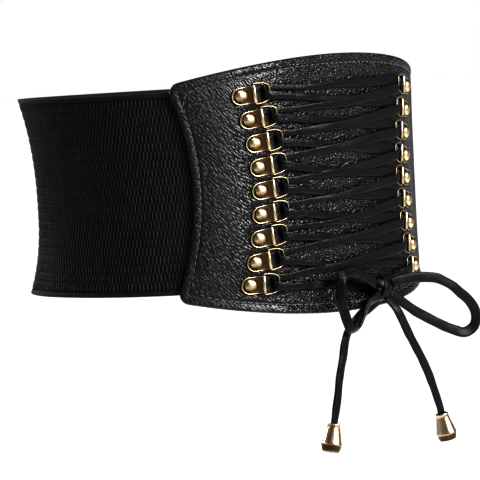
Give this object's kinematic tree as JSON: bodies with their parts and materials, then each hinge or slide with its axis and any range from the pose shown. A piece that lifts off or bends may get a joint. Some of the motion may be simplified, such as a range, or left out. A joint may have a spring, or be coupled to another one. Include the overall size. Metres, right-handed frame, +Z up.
{
  "type": "corset belt",
  "caption": "Wide elastic waist belt with a tall black leather front, brass lugs with D-rings, criss-cross lacing and a bow whose tails end in bell tips.",
  "frame": {"origin": "middle of the waist that the belt is worn on, level with the middle of the leather panel", "axes": "+Z up, the leather front faces -Y, +X to the right seen from the front"},
  "size_m": [0.252, 0.2121, 0.2232],
  "materials": {
    "elastic": "black woven elastic with short staggered ribs",
    "fastening": "plain black tape",
    "leather": "black pebbled leather, semi-gloss",
    "lace": "black leather lace, satin",
    "brass": "antique brass, polished on its high spots",
    "bell_tip": "antique bronze, brushed"
  },
  "bodies": {
    "root": {"elastic_band": "elastic", "fastening_strip": "fastening", "leather_panel": "leather", "lug_left_1": "brass", "ring_left_1": "brass", "lug_left_2": "brass", "ring_left_2": "brass", "lug_left_3": "brass", "ring_left_3": "brass", "lug_left_4": "brass", "ring_left_4": "brass", "lug_left_5": "brass", "ring_left_5": "brass", "lug_left_6": "brass", "ring_left_6": "brass", "lug_left_7": "brass", "ring_left_7": "brass", "lug_left_8": "brass", "ring_left_8": "brass", "lug_left_9": "brass", "ring_left_9": "brass", "lug_right_1": "brass", "ring_right_1": "brass", "lug_right_2": "brass", "ring_right_2": "brass", "lug_right_3": "brass", "ring_right_3": "brass", "lug_right_4": "brass", "ring_right_4": "brass", "lug_right_5": "brass", "ring_right_5": "brass", "lug_right_6": "brass", "ring_right_6": "brass", "lug_right_7": "brass", "ring_right_7": "brass", "lug_right_8": "brass", "ring_right_8": "brass", "lug_right_9": "brass", "ring_right_9": "brass", "lacing_from_left": "lace", "lacing_from_right": "lace", "bow_knot": "lace", "bow_loop_left": "lace", "bow_loop_right": "lace", "lace_tail_left": "lace", "lace_tail_right": "lace", "lace_tip_left": "bell_tip", "lace_tip_right": "bell_tip"}
  },
  "joints": []
}
